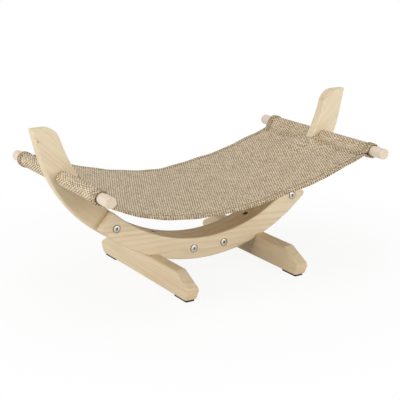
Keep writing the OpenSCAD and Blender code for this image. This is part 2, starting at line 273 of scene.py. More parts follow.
class BowLines:
    """Points and lines that the pieces share."""

    arc_steps = 60
    elbow_steps = 32
    inner_steps = 32
    tip_steps = 16

    def __init__(self):
        bow, foot, dowel = sizes().bow, sizes().foot, sizes().dowel
        self.sizes = bow
        self.out_r = bow.bow_r + bow.board_w
        self.mid_r = bow.bow_r + bow.board_w / 2
        self.stack_t = 3 * bow.board_t
        top = foot.pad_t + foot.foot_h
        self.bow = np.array((0.0, top - foot.saddle_d + math.sqrt(self.out_r**2 - foot.foot_x**2)))
        self.tip_angle = math.pi / 2 - bow.horn_lean
        arm = bow.outer_angle
        self.elbow = self.bow + (self.out_r - bow.elbow_r) * outward(arm) + bow.outer_run * along(arm)
        self.inner = self.bow + (bow.bow_r - bow.inner_r) * outward(bow.inner_angle)
        self.tip_z = self.elbow[1] - bow.elbow_r * math.cos(self.tip_angle) + bow.tip_rise
        self.dowel = self.elbow + (bow.elbow_r - dowel.dowel_in) * outward(dowel.dowel_angle)
        drop = self.inner[1] - self.tip_z + bow.tip_r
        self.round_angle = math.acos(drop / (bow.inner_r + bow.tip_r))
        self.round_mid = self.inner + (bow.inner_r + bow.tip_r) * outward(self.round_angle)
        self.screw_angle = math.asin(foot.foot_x / self.out_r)
        parts = sizes().fasteners
        self.bolt_angles = (parts.bolt_mid / self.mid_r, bow.cheek_angle - parts.bolt_end / self.mid_r)

    def tip_corner(self, d):
        """The outer corner of the right horn's tip, drawn in by d."""
        start = self.elbow + (self.sizes.elbow_r - d) * outward(self.tip_angle)
        return start + (self.tip_z - d - start[1]) / math.sin(self.tip_angle) * along(self.tip_angle)

    def horn_outline(self, d):
        """Outline of the right horn drawn in by d, but not at its butt end."""
        bow = self.sizes
        out_r, in_r = self.out_r - d, bow.bow_r + d
        butt = bow.butt_gap / 2
        turn = np.linspace(math.pi / 2, math.pi / 2 + self.round_angle, self.tip_steps + 1)
        tip = [self.round_mid + (bow.tip_r - d) * along(a) for a in turn]
        return [
            *hanging_arc(self.bow, out_r, math.asin(butt / out_r), bow.outer_angle, self.arc_steps),
            *hanging_arc(self.elbow, bow.elbow_r - d, bow.outer_angle, self.tip_angle, self.elbow_steps),
            self.tip_corner(d),
            *tip,
            *hanging_arc(self.inner, bow.inner_r + d, self.round_angle, bow.inner_angle, self.inner_steps),
            *hanging_arc(self.bow, in_r, bow.inner_angle, math.asin(butt / in_r), self.arc_steps),
        ]

    def on_bow(self, a, r):
        """Point of the bow at an angle from straight down and a radius."""
        x, z = self.bow + r * outward(a)
        return Vector((x, 0.0, z))

    def bolt_spots(self):
        """Middles of the four bolts, in the bow's plane."""
        return [self.on_bow(side * a, self.mid_r) for side in (-1, 1) for a in self.bolt_angles]


# Meshes

UPRIGHT = Matrix.Rotation(math.pi / 2, 4, "X")
CROSSWISE = Matrix(((0, 0, 1, 0), (1, 0, 0, 0), (0, 1, 0, 0), (0, 0, 0, 1)))
MIRROR_X = Matrix.Diagonal((-1, 1, 1, 1))
OVERCUT = 0.002  # how far a cutter stands out of the wood
SUPPORT = 0.0005  # band beside a rounding that keeps the flat faces flat in the shading


def ring(radius, z, n):
    """Ring of n points round Z; the radius is a number or a function of the angle."""
    points = []
    for i in range(n):
        a = math.tau * i / n
        r = radius(a) if callable(radius) else radius
        points.append((r * math.cos(a), r * math.sin(a), z))
    return points


def hexagon(flats):
    """Radius of a hexagon of that width across its flats, as a function of the angle."""
    return lambda a: flats / 2 / math.cos((a + math.pi / 6) % (math.pi / 3) - math.pi / 6)


def loft(rings):
    """Vertices and faces of a closed skin through rings of points, capped at both ends."""
    n = len(rings[0])
    points = [tuple(p) for each in rings for p in each]
    faces = [tuple(range(n - 1, -1, -1)), tuple(range(len(points) - n, len(points)))]
    for k in range(0, len(points) - n, n):
        faces += [(k + i, k + (i + 1) % n, k + n + (i + 1) % n, k + n + i) for i in range(n)]
    return points, faces


def eased_board(outline, t, r, steps, support=SUPPORT):
    """Rings of a board of thickness t, its edges rounded by r; outline(d) is its outline drawn in by d."""
    turns = [math.pi / 2 * i / steps for i in range(steps + 1)]
    half = [(r * (1 - math.sin(a)), r * (1 - math.cos(a)) - t / 2) for a in turns]
    half = [(r + support, -t / 2), *half, (0.0, r - t / 2 + support)]
    layers = half + [(d, -w) for d, w in reversed(half)]
    return [[(p[0], p[1], w) for p in outline(d)] for d, w in layers]


def box_corners(w, h, steps):
    """The middle of each rounding in a box of half width w and half height h, and the angles round it."""
    for k, (i, j) in enumerate(((1, 1), (-1, 1), (-1, -1), (1, -1))):
        yield np.array((i * w, j * h)), np.linspace(k * math.pi / 2, (k + 1) * math.pi / 2, steps + 1)


def new_mesh(name, points, faces, matrix=None):
    """A mesh with its faces turned outwards."""
    mesh = bpy.data.meshes.new(name)
    mesh.from_pydata([tuple(p) for p in points], [], faces)
    if matrix is not None:
        mesh.transform(matrix)
        if matrix.determinant() < 0:
            mesh.flip_normals()
    mesh.validate()
    mesh.update()
    return mesh


def new_object(name, data):
    """A new object, linked to the scene."""
    made = bpy.data.objects.new(name, data)
    bpy.context.scene.collection.objects.link(made)
    return made


def discard(thing):
    """Removes an object and its mesh."""
    mesh = thing.data
    bpy.data.objects.remove(thing)
    bpy.data.meshes.remove(mesh)


def made_plain(source, name):
    """The finished form of an object with modifiers, as an object with a plain mesh; the source goes."""
    bpy.context.view_layer.update()
    depsgraph = bpy.context.evaluated_depsgraph_get()
    mesh = bpy.data.meshes.new_from_object(
        source.evaluated_get(depsgraph), preserve_all_data_layers=True, depsgraph=depsgraph
    )
    discard(source)
    mesh.name = name
    return new_object(name, mesh)


def soften(piece, degrees=38):
    """Smooth shading with sharp edges where the form has them."""
    piece.data.shade_smooth()
    piece.data.set_sharp_from_angle(angle=math.radians(degrees))
    return piece


def drilled(piece, cutters):
    """The piece with holes cut by meshes; the cutters go."""
    holes = [new_object("hole", mesh) for mesh in cutters]
    for hole in holes:
        cut = piece.modifiers.new("Hole", "BOOLEAN")
        cut.operation = "DIFFERENCE"
        cut.solver = "MANIFOLD"
        cut.object = hole
    done = made_plain(piece, piece.name)
    for hole in holes:
        discard(hole)
    return done


def drill(place, axis, steps, n):
    """Cutter of a stepped hole; steps are (radius, depth) from its mouth on, along axis from place."""
    rings, depth = [], -OVERCUT
    for r, end in steps:
        rings += [ring(r, depth, n), ring(r, end, n)]
        depth = end
    turn = Vector(axis).to_track_quat("Z", "Y").to_matrix().to_4x4()
    return new_mesh("hole", *loft(rings), Matrix.Translation(place) @ turn)


# Nodes of materials and of geometry


class Nodes:
    """Adds nodes to a tree."""

    def __init__(self, tree):
        self.tree = tree

    def node(self, kind, settings=None, inputs=None):
        """A new node. An input is a plain value, a Value, a socket or a node, whose first output is taken."""
        made = self.tree.nodes.new(kind)
        for key, value in (settings or {}).items():
            setattr(made, key, value)
        for key, value in (inputs or {}).items():
            if isinstance(value, Value):
                value = value.socket
            elif isinstance(value, bpy.types.Node):
                value = value.outputs[0]
            if isinstance(value, bpy.types.NodeSocket):
                self.tree.links.new(value, made.inputs[key])
            else:
                made.inputs[key].default_value = value
        return made


class Value:
    """A socket with arithmetic: an expression adds its Math nodes."""

    def __init__(self, nodes, socket):
        self.nodes, self.socket = nodes, socket

    def math(self, operation, *others):
        return self.joined(operation, self, *others)

    def joined(self, operation, *terms):
        made = self.nodes.node("ShaderNodeMath", {"operation": operation}, dict(enumerate(terms)))
        return Value(self.nodes, made.outputs[0])

    def __add__(self, other):
        return self.joined("ADD", self, other)

    def __sub__(self, other):
        return self.joined("SUBTRACT", self, other)

    def __rsub__(self, other):
        return self.joined("SUBTRACT", other, self)

    def __mul__(self, other):
        return self.joined("MULTIPLY", self, other)

    def __truediv__(self, other):
        return self.joined("DIVIDE", self, other)

    def __rtruediv__(self, other):
        return self.joined("DIVIDE", other, self)

    __radd__ = __add__
    __rmul__ = __mul__

    def floor(self):
        return self.math("FLOOR")

    def part(self):
        return self.math("FRACT")

    def root(self):
        return self.math("SQRT")

    def size(self):
        return self.math("ABSOLUTE")

    def eased(self, low, high):
        """From 0 at low to 1 at high, smoothly."""
        values = {"Value": self, "From Min": low, "From Max": high}
        made = self.nodes.node("ShaderNodeMapRange", {"interpolation_type": "SMOOTHSTEP"}, values)
        return Value(self.nodes, made.outputs[0])


def distance(x, y):
    """Length of the way that goes x along one axis and y along another, as a value."""
    return (x * x + y * y).root()


def scaled(shade, share):
    """A colour made darker or lighter."""
    return tuple(min(1.0, share * c) for c in shade)


class Finish(Nodes):
    """A material in the making, round one Principled shader."""

    def __init__(self, name, **constants):
        self.material = bpy.data.materials.new(name)
        self.material.use_nodes = True
        super().__init__(self.material.node_tree)
        self.shader = self.tree.nodes["Principled BSDF"]
        for key, value in constants.items():
            self.shader.inputs[self.label(key)].default_value = value

    @staticmethod
    def label(key):
        """A socket's name from a keyword."""
        return key.replace("_", " ").title().replace("Ior", "IOR")

    def out(self, node, key=0):
        return Value(self, node.outputs[key])

    def split(self, kind, key):
        """X, Y and Z of a vector that a node of that kind gives."""
        parts = self.node("ShaderNodeSeparateXYZ", inputs={0: self.node(kind).outputs[key]})
        return [self.out(parts, i) for i in range(3)]

    def place(self):
        """Place on the surface, in metres."""
        return self.split("ShaderNodeTexCoord", "Object")

    def cloth(self):
        """Place on the flat cloth, in metres."""
        return self.split("ShaderNodeTexCoord", "UV")[:2]

    def facing(self, axis):
        """How squarely the surface faces along an axis, either way."""
        return self.split("ShaderNodeNewGeometry", "Normal")[axis].size()

    def vector(self, x, y, z=0.0):
        return self.out(self.node("ShaderNodeCombineXYZ", inputs={0: x, 1: y, 2: z}))

    def noise(self, x, y, z=0.0, detail=2.0, rough=0.5):
        values = {"Vector": self.vector(x, y, z), "Scale": 1.0, "Detail": detail, "Roughness": rough}
        return self.out(self.node("ShaderNodeTexNoise", inputs=values))

    def speckle(self, scale, detail=2.0, rough=0.5):
        """Noise of the same scale in all directions."""
        x, y, z = self.place()
        return self.noise(x * scale, y * scale, z * scale, detail, rough)

    def chance(self, x, y):
        """A number from 0 to 1 that is fixed for each pair of whole numbers."""
        values = {"Vector": self.vector(x, y)}
        return self.out(self.node("ShaderNodeTexWhiteNoise", {"noise_dimensions": "3D"}, values))

    def mix(self, share, a, b):
        a, b = (c if isinstance(c, Value) else (*c, 1.0) for c in (a, b))
        made = self.node("ShaderNodeMix", {"data_type": "RGBA", "clamp_factor": True}, {0: share, 6: a, 7: b})
        return self.out(made, 2)

    def bump(self, height, depth, strength):
        values = {"Height": height, "Distance": depth, "Strength": strength}
        return self.out(self.node("ShaderNodeBump", inputs=values))

    def feed(self, **links):
        for key, value in links.items():
            self.tree.links.new(value.socket, self.shader.inputs[self.label(key)])
        return self.material


# Finishes


def pine(
    name, seed, pith, spacing, drift, grain=0.0, upright=True, mirror=1,
    warmth_and_shade=0.0, low=0.0, knot=None, hole=None,
):
    """Sawn pine: late-wood lines round a pith beside the board, fibres and streaks along the grain and slow
    changes of tone. grain is the angle of the grain from X in the upright plane; a board that isn't upright
    has its grain along Y. Painted shade darkens the edges of an upright board that face up or down near the
    floor, and the ends of another show darker end grain. low is painted shade that warms the tone towards the
    floor, knot is a place (X, Z), and hole is painted shade inside the screw's hole towards the bow's centre
    (angle from straight down, height of that centre, radius)."""
    shades = sizes().finish
    f = Finish(name, specular_ior_level=0.35)
    x, y, z = f.place()
    x = x * mirror
    if upright:
        g = x * math.cos(grain) + z * math.sin(grain)
        a = z * math.cos(grain) - x * math.sin(grain)
        b = y + seed * 0.01
    else:
        g, a, b = y, z + seed * 0.013, x
    slow = f.noise(g * 3.0 + seed, a * 11.0, b * 11.0)
    wander = f.noise(g * 7.0, a * 30.0 + seed, b * 30.0, 3.0)
    radius = distance(a - pith[0] + g * drift, b - pith[1]) + (slow - 0.5) * 0.022 + (wander - 0.5) * 0.007
    rings = radius / spacing
    phase = rings.part()
    strength = f.chance(rings.floor() + seed * 17.0, 3.0)
    late = phase.eased(0.35, 0.93) * (1.0 - phase.eased(0.94, 1.0)) * (strength * 0.85 + 0.15)
    fibre = f.noise(g * 26.0, a * 900.0 + seed, b * 900.0, 2.0, 0.6)
    tone = f.noise(g * 5.0 + seed * 3.0, a * 18.0, b * 18.0 + 4.0, 3.0)
    streak = f.noise(g * 9.0 + seed, a * 130.0, b * 130.0)
    tan = tone.eased(0.30, 0.72) * 0.50 + late * 0.15 + (fibre - 0.5) * 0.26 + (streak - 0.5) * 0.80
    # Painted shade: the board grows darker towards the floor.
    shade_towards_floor = 1.0 - z.eased(0.10, 0.24)
    # On an upright board, painted shade on the edges that face up or down near the floor; on a foot, darker
    # end grain at its ends.
    if upright:
        shade_and_end_grain = f.facing(2).eased(0.55, 0.95) * shade_towards_floor * 0.65
    else:
        shade_and_end_grain = f.facing(1).eased(0.5, 0.98) * 0.34
    # These added terms are partly the wood's own tone and end grain, partly painted shade.
    tan = tan + warmth_and_shade + shade_towards_floor * low + shade_and_end_grain
    shade = f.mix(tan, shades.pine_pale, shades.pine_tan)
    shade = f.mix(late * strength * strength * 0.24, shade, shades.pine_line)
    if knot:
        in_knot = 1.0 - distance(x - knot[0], z - knot[1]).eased(0.0009, 0.0030)
        shade = f.mix(in_knot * 0.75, shade, shades.pine_line)
    # Painted shade: the walls of the screw's hole are painted nearly black.
    if hole:
        turn, centre, wide = hole
        off = x * math.cos(turn) + (z - centre) * math.sin(turn)
        inside = 1.0 - distance(off, y).eased(wide + 0.00005, wide + 0.0002)
        shade = f.mix(inside * 0.92, shade, scaled(shades.pine_line, 0.2))
    return f.feed(
        base_color=shade,
        roughness=0.50 + fibre * 0.16 - late * 0.08,
        normal=f.bump(fibre * 0.5 + late * 0.5, 0.00025, 0.35),
    )


def dowel_wood(name, seed, pith_z=0.13, spacing=0.0024):
    """Turned pale hardwood with short flecks and faint rings on the ends."""
    shades = sizes().finish
    f = Finish(name, specular_ior_level=0.35)
    x, y, z = f.place()
    fleck = f.noise(x * 700.0 + seed, y * 40.0, z * 700.0, 2.0, 0.6)
    tone = f.noise(x * 60.0 + seed, y * 7.0, z * 60.0)
    rings = (distance(x, z - pith_z) + (tone - 0.5) * 0.004) / spacing
    late = rings.part().eased(0.3, 0.95)
    grain = tone.eased(0.3, 0.8) * 0.35 + late * 0.22 + (fleck - 0.5) * 0.4
    grain = grain + f.facing(1).eased(0.8, 0.99) * 0.45
    return f.feed(
        base_color=f.mix(grain, shades.dowel_pale, shades.dowel_tan),
        roughness=0.46 + fleck * 0.18,
        normal=f.bump(fleck + late * 0.4, 0.0002, 0.3),
    )


def sling_weave():
    """Coarse two-tone broken twill: pale yarns in floats over dark ones, staggered from yarn to yarn, with
    slubs. It is darker along the hems, with painted shade in the grooves of their stitches and in the
    hollows between the yarns."""
    shades, s = sizes().finish, sizes().sling
    f = Finish("sling_weave", specular_ior_level=0.2, sheen_weight=0.12, sheen_roughness=0.6)
    u, v = f.cloth()
    wobble = f.noise(u * 60.0, v * 60.0) - 0.5
    across = u / s.yarn + wobble * 0.9
    yarn = across.floor()
    along_yarn = v / s.float_l + yarn * 0.5 + f.chance(yarn, 7.0) * 0.14 + wobble * 0.5
    from_middle = across.part() * 2.0 - 1.0
    from_crown = (along_yarn.part() - 0.42) / 0.38
    dome = 1.0 - from_middle * from_middle * 0.7 - from_crown * from_crown
    over = dome.eased(0.0, 0.28)
    height = over * 0.4 + dome.math("MAXIMUM", 0.0) * 0.6
    slub = f.noise(yarn * 3.7, v * 90.0)
    fuzz = f.noise(u * 3200.0, v * 700.0, 0.0, 2.0, 0.7)
    patch = f.noise(u * 22.0, v * 22.0, 0.0, 3.0)
    mottle = f.noise(u * 260.0, v * 260.0, 0.0, 1.0)
    speck = f.chance(yarn, along_yarn.floor())
    pale = over * 0.84 + (speck - 0.5) * 0.45 + (slub - 0.5) * 0.6 + (fuzz - 0.5) * 0.5
    pale = pale + (patch - 0.5) * 0.3 + (mottle - 0.5) * 0.4 + 0.09
    from_hem = s.width / 2 - v.size()
    # groove is painted shade along the groove that a hem's stitches draw in.
    groove = 1.0 - (from_hem - s.hem_seam).size().eased(s.groove_w * 0.4, s.groove_w * 1.3)
    pale = pale - (1.0 - from_hem.eased(0.0, s.hem_w)) * 0.24 - groove * 0.55
    shade = f.mix(pale, shades.yarn_dark, shades.yarn_pale)
    # The base colour is darker where the yarns dip: painted shade in the weave's hollows.
    return f.feed(
        base_color=f.mix((1.0 - height) * 0.15, shade, shades.yarn_dark),
        roughness=0.82 + fuzz * 0.14,
        normal=f.bump(height + fuzz * 0.2, 0.0005, 0.7),
    )


def stitch_thread(name, shade):
    """Twisted sewing thread."""
    f = Finish(name, specular_ior_level=0.25)
    twist = f.speckle(1500.0)
    return f.feed(
        base_color=f.mix(twist.eased(0.35, 0.75), shade, scaled(shade, 1.8)), roughness=0.65 + twist * 0.25
    )


def bolt_steel():
    """Bright zinc-plated steel with fine marks from its tools, with painted shade in its sockets and
    recesses.
    """
    shade = sizes().finish.steel
    f = Finish("bolt_steel", metallic=1.0)
    x, y, z = f.place()
    # recess marks where painted shade darkens a socket or a screw's cross.
    recess = f.out(f.node("ShaderNodeAttribute", {"attribute_name": "recess"}), "Fac")
    marks = f.noise(x * 900.0, y * 300.0, z * 2600.0, 3.0, 0.6)
    cloud = f.speckle(220.0)
    plated = f.mix(cloud.eased(0.3, 0.8) * 0.5 + (marks - 0.5) * 0.4, shade, scaled(shade, 0.62))
    return f.feed(
        base_color=f.mix(recess, plated, scaled(shade, 0.07)),
        roughness=0.22 + cloud * 0.16 + marks * 0.08 + recess * 0.4,
        normal=f.bump(marks, 0.00005, 0.25),
    )


def pad_rubber():
    """Matt black rubber with a fine grain."""
    shade = sizes().finish.rubber
    f = Finish("pad_rubber", specular_ior_level=0.3)
    grain = f.speckle(1400.0, 3.0, 0.6)
    dusty = f.speckle(130.0, 3.0).eased(0.35, 0.8) * 0.7 + (grain - 0.5) * 0.3
    return f.feed(
        base_color=f.mix(dusty, shade, scaled(shade, 3.2)),
        roughness=0.68 + grain * 0.2,
        normal=f.bump(grain, 0.0002, 0.5),
    )


def finished(piece, material, body, node):
    """Gives a piece its material and its body, and hides the CAD node that it stands for."""
    piece.data.materials.clear()
    piece.data.materials.append(material)
    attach(piece, body)
    if node:
        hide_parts(node)
    return piece


# The sling's surface


class SlingSurface:
    """The hung cloth: a path from flap to flap in the bow's plane, carried across from hem to hem."""

    layer_gap = 0.0001  # between a flap and the sheet
    left_lift = (-0.01, 0.18)  # where the left half's lift begins and is full, from the middle
    right_lift = (-0.03, 0.11)
    right_drop = (0.16, 0.245)
    curl_end = 0.15  # where the curl begins to fade towards a sleeve
    ride_in, ride_out, ride_across = 0.034, 0.022, 0.028  # reach of the ride at a horn
    ride_power = 1.6  # how steeply it ends across the cloth
    crease_w, crease_in, crease_out = 0.0024, 0.027, 0.006  # width and reach of the creases
    # Each ripple: its height and two waves, with their turns along X and Y and their shift
    ripples = ((0.0009, (46, 11, 0.0), (-7, 31, 1.0)), (0.0004, (120, 57, 2.0), (0, 96, 0.5)))
    notch_band = 0.003  # spacing of the mesh beside a notch
    fold_share = 0.53  # radius of a hem's fold, as a share of the cloth's thickness
    edge_share = 0.45  # how far the edge stitches stand out, as a share of it
    free_margin = 0.002  # from a seam to where the sheet hangs freely
    hem_inset, edge_inset = 0.003, 0.001  # from the cloth's end to the first stitch
    flap_rows = (0.003, 0.0065)  # from a flap's end to its lines of stitches
    notch_inset, side_inset = 0.003, 0.002  # where these lines begin and end
    seam_points, flap_points = 420, 60  # on each line of stitches
    arc_steps, wrap_steps, flap_steps = 100, 31, 4  # of the mesh along the cloth
    sheet_steps, curl_steps, fold_steps, hem_steps = 39, 17, 6, 5  # and across it

    def __init__(self, lines):
        s, dowel = sizes().sling, sizes().dowel
        self.sizes = s
        self.axis = lines.dowel
        self.tube_r = dowel.dowel_d / 2 + s.sleeve_gap + s.cloth_t / 2
        self.sag_r = (self.axis[0] ** 2 + s.sag**2) / (2 * s.sag)
        self.mid = np.array((0.0, self.axis[1] - s.sag + self.sag_r))
        self.fold_r = s.cloth_t * self.fold_share
        self.half = self.right_half()
        self.length = self.half[-1][0]
        self.notch_s = self.sag_r * math.asin(s.notch_x / self.sag_r)

    def right_half(self):
        """Rows (way along the cloth, X, Z, normal's X, normal's Z) from the middle to the flap's end."""
        s, rho = self.sizes, self.tube_r
        seam = math.asin(self.axis[0] / self.sag_r) - 2 * math.asin(s.seam_l / (2 * self.sag_r))
        flap_r = self.sag_r - s.cloth_t - self.layer_gap
        low, high = self.mid + self.sag_r * outward(seam), self.mid + flap_r * outward(seam)
        turns = []
        for point in (low, high):
            way = point - self.axis
            turns.append((math.atan2(way[1], way[0]), math.acos(rho / np.linalg.norm(way))))
        start, end = turns[0][0] + turns[0][1], turns[1][0] - turns[1][1] + 2 * math.pi
        wrap = [self.axis + rho * along(a) for a in np.linspace(start, end, self.wrap_steps + 1)]
        points = hanging_arc(self.mid, self.sag_r, 0.0, seam - s.seam_round / self.sag_r, self.arc_steps)
        points += self.bend(points[-1], low, self.beyond(low, wrap[0]))
        on_tube = len(points)
        off_tube = self.beyond(high, wrap[-1])
        bent = seam - s.seam_round / flap_r
        flap = hanging_arc(self.mid, flap_r, bent, bent - s.flap_l / flap_r, self.flap_steps)
        points += [*wrap, off_tube, *self.bend(off_tube, high, flap[0]), *flap[1:]]
        points = np.array(points)
        way = np.concatenate(((0.0,), np.cumsum(np.linalg.norm(np.diff(points, axis=0), axis=1))))
        tangent = np.gradient(points, way, axis=0)
        tangent /= np.linalg.norm(tangent, axis=1)[:, None]
        self.tube_s, self.flap_s = way[on_tube], way[on_tube + len(wrap)]
        return np.column_stack((way, points, tangent[:, 1], -tangent[:, 0]))

    def beyond(self, corner, target):
        """Point at which a bend at a corner ends, on the way to a target."""
        return corner + self.sizes.seam_round * (target - corner) / np.linalg.norm(target - corner)

    @staticmethod
    def bend(start, corner, end, steps=7):
        """Points after the start along a bend that rounds a corner."""
        ts = np.linspace(0, 1, steps + 1)[1:]
        return [(1 - t) ** 2 * start + 2 * (1 - t) * t * corner + t**2 * end for t in ts]

    def at(self, way, y, out=0.0):
        """Place of a point from its way along the cloth, its distance across and its height off the cloth."""
        s = self.sizes
        side = 1.0 if way >= 0 else -1.0
        x, z, nx, nz = (np.interp(abs(way), self.half[:, 0], self.half[:, k]) for k in range(1, 5))
        held = self.tube_r if abs(way) > self.tube_s else self.tube_r / 3
        free = smooth(self.axis[0] - x, held, s.seam_l + self.free_margin)
        y *= 1 - s.flap_in / (s.width / 2) * smooth(abs(way), self.flap_s, self.length)
        drop, slope = (free * each for each in self.curled(x, y))
        lean = math.hypot(1, slope)
        height = z + out * nz / lean + free * self.lifted(side * x, y) - drop
        return Vector((side * (x + out * nx / lean), y - out * nz * slope / lean, height))

    def curled(self, x, y):
        """Drop of the front hem below the sheet, and its slope."""
        s = self.sizes
        t = max(0.0, 1 - (s.width / 2 + y) / s.curl_w)
        deep = s.curl * (1 - smooth(x, self.curl_end, self.axis[0]))
        return deep * t * t, 2 * deep * t / s.curl_w

    def lifted(self, x, y):
        """How much higher the cloth hangs than its plain arc, with its ride, creases and ripples."""
        s = self.sizes
        back = y / s.width + 0.5
        left = smooth(-x, *self.left_lift) * (s.front_left + (s.rear_left - s.front_left) * back)
        right = smooth(x, *self.right_lift) * (s.front_right + (s.rear_right - s.front_right) * back)
        lift = s.rise + left + right - s.end_drop * smooth(x, *self.right_drop)
        near = abs(x) - s.notch_x
        beside = abs(y) - s.notch_w / 2
        slope = math.exp(-((near / self.ride_in) ** 2)) if near < 0 else max(0.0, 1 - near / self.ride_out)
        lift += s.ride * slope * math.exp(-((max(0.0, beside) / self.ride_across) ** self.ride_power))
        if near < self.crease_out:
            fade = max(0.0, 1 - max(0.0, -near) / self.crease_in)
            lift -= s.crease * math.exp(-((beside / self.crease_w) ** 2)) * fade
        for high, one, two in self.ripples:
            waves = [math.sin(x * kx + y * ky + shift) for kx, ky, shift in (one, two)]
            lift += high * waves[0] * waves[1]
        from_seam = s.width / 2 - abs(y) - s.hem_seam
        return lift - s.groove * math.exp(-((from_seam / s.groove_w) ** 2))

    def across(self):
        """Rows (distance across, height off the underside, place on the flat cloth) from hem to hem."""
        s, r = self.sizes, self.fold_r
        half, notch, inner = s.width / 2, s.notch_w / 2, s.width / 2 - s.curl_w
        main = [0.0, *(notch + k * self.notch_band for k in (-1, 0, 1))]
        main += list(np.linspace(notch + 2 * self.notch_band, inner, self.sheet_steps + 1)[:-1])
        main += list(np.linspace(inner, half - r, self.curl_steps + 1))
        rows = [(y, 0.0, y) for y in main]
        flat = main[-1]
        for a in np.linspace(0, math.pi, self.fold_steps + 1)[1:]:
            rows.append((half - r + r * math.sin(a), r - r * math.cos(a), flat + r * a))
        flat += math.pi * r
        for d in np.linspace(0, s.hem_w, self.hem_steps + 1)[1:]:
            rows.append((half - r - d, 2 * r, flat + d))
        return [(-y, out, -v) for y, out, v in reversed(rows[1:])] + rows

    def mesh(self, name):
        """The cloth's middle layer, with its place on the flat cloth as UV map."""
        s = self.sizes
        ways = self.half[:, 0]
        ways = sorted({*(-ways[1:]), *ways, self.notch_s, -self.notch_s})
        rows = self.across()
        n = len(rows)
        points = [self.at(way, y, out) for way in ways for y, out, _ in rows]
        flat = [(way, v) for way in ways for _, _, v in rows]
        faces = []
        for k in range(len(ways) - 1):
            cut = abs(ways[k] + ways[k + 1]) / 2 > self.notch_s
            for i in range(n - 1):
                y = (rows[i][0] + rows[i + 1][0]) / 2
                if not (cut and abs(y) < s.notch_w / 2):
                    faces.append((k * n + i, (k + 1) * n + i, (k + 1) * n + i + 1, k * n + i + 1))
        mesh = new_mesh(name, points, faces)
        layer = mesh.uv_layers.new(name="UVMap")
        for loop in mesh.loops:
            layer.data[loop.index].uv = flat[loop.vertex_index]
        return mesh

    def flat_size(self):
        """Width and length of the cut, and its area without the notches."""
        rows = self.across()
        width, long = rows[-1][2] - rows[0][2], 2 * self.length
        return width, long, width * long - 2 * (self.length - self.notch_s) * self.sizes.notch_w

    def lengthwise(self, inset, rows):
        """Lines along the cloth that end an inset before its ends; rows are (distance across, height)."""
        end = self.length - inset
        return [[self.at(way, y, out) for way in np.linspace(-end, end, self.seam_points)] for y, out in rows]

    def seams(self):
        """Lines of stitches in the hems, above and below, and in the sleeves' flaps."""
        s = self.sizes
        skin, row = s.cloth_t / 2, s.width / 2 - s.hem_seam
        rows = [(y, out) for y in (-row, row) for out in (-skin, skin + 2 * self.fold_r)]
        found = self.lengthwise(self.hem_inset, rows)
        first, last = s.notch_w / 2 + self.notch_inset, s.width / 2 - self.side_inset
        for side in (-1, 1):
            for back in self.flap_rows:
                for end in (-1, 1):
                    ys = end * np.linspace(first, last, self.flap_points)
                    found.append([self.at(side * (self.length - back), y, skin) for y in ys])
        return found

    def edges(self):
        """The outermost lines of the two hems."""
        out = self.sizes.width / 2 + self.sizes.cloth_t * self.edge_share
        return self.lengthwise(self.edge_inset, [(-out, self.fold_r), (out, self.fold_r)])


# Geometry node trees


def node_tree(name, **inputs):
    """A geometry node tree with named inputs; returns its nodes and the inputs' sockets and identifiers."""
    tree = bpy.data.node_groups.new(name, "GeometryNodeTree")
    tree.interface.new_socket("Geometry", in_out="INPUT", socket_type="NodeSocketGeometry")
    ids = {}
    for key, kind in inputs.items():
        label = key.replace("_", " ")
        made = tree.interface.new_socket(label, in_out="INPUT", socket_type="NodeSocket" + kind)
        ids[label] = made.identifier
    tree.interface.new_socket("Geometry", in_out="OUTPUT", socket_type="NodeSocketGeometry")
    nodes = Nodes(tree)
    return nodes, nodes.node("NodeGroupInput").outputs, ids


def closed_tree(nodes, geometry, material):
    """Ends a tree: instances become real, and the material is set."""
    real = nodes.node("GeometryNodeRealizeInstances", inputs={"Geometry": geometry})
    dressed = nodes.node("GeometryNodeSetMaterial", inputs={"Geometry": real, "Material": material})
    nodes.node("NodeGroupOutput", inputs={0: dressed})
    return nodes.tree


def grown(name, points, edges, grower, values, attributes=None):
    """A piece grown by a tree, given with its inputs' identifiers, from points and edges."""
    tree, ids = grower
    mesh = bpy.data.meshes.new(name)
    mesh.from_pydata([tuple(p) for p in points], edges, [])
    for key, rows in (attributes or {}).items():
        layer = mesh.attributes.new(key, "FLOAT_VECTOR", "POINT")
        layer.data.foreach_set("vector", np.array(rows, np.float32).ravel())
    seedling = new_object(name + "_path", mesh)
    grow = seedling.modifiers.new("Grow", "NODES")
    grow.node_group = tree
    for label, value in values.items():
        grow[ids[label]] = value
    return made_plain(seedling, name)


def stitch_tree():
    """Stitches at a steady pitch along lines."""
    nodes, given, ids = node_tree(
        "Stitches along seams", Pitch="Float", Stitch_length="Float", Thread="Float", Material="Material"
    )
    curve = nodes.node("GeometryNodeMeshToCurve", inputs={"Mesh": given["Geometry"]})
    steps = {"Curve": curve, "Length": given["Pitch"]}
    spots = nodes.node("GeometryNodeCurveToPoints", {"mode": "LENGTH"}, steps)
    ahead = {"Vector": spots.outputs["Tangent"]}
    turn = nodes.node("FunctionNodeAlignRotationToVector", {"axis": "Z"}, ahead)
    bead = nodes.node("GeometryNodeMeshUVSphere", inputs={"Segments": 8, "Rings": 5, "Radius": 0.5})
    stitch = nodes.node("GeometryNodeSetShadeSmooth", inputs={"Geometry": bead})
    size = {0: given["Thread"], 1: given["Thread"], 2: given["Stitch length"]}
    scale = nodes.node("ShaderNodeCombineXYZ", inputs=size)
    sewn = nodes.node(
        "GeometryNodeInstanceOnPoints",
        inputs={"Points": spots, "Instance": stitch, "Rotation": turn, "Scale": scale},
    )
    return closed_tree(nodes, sewn, given["Material"]), ids


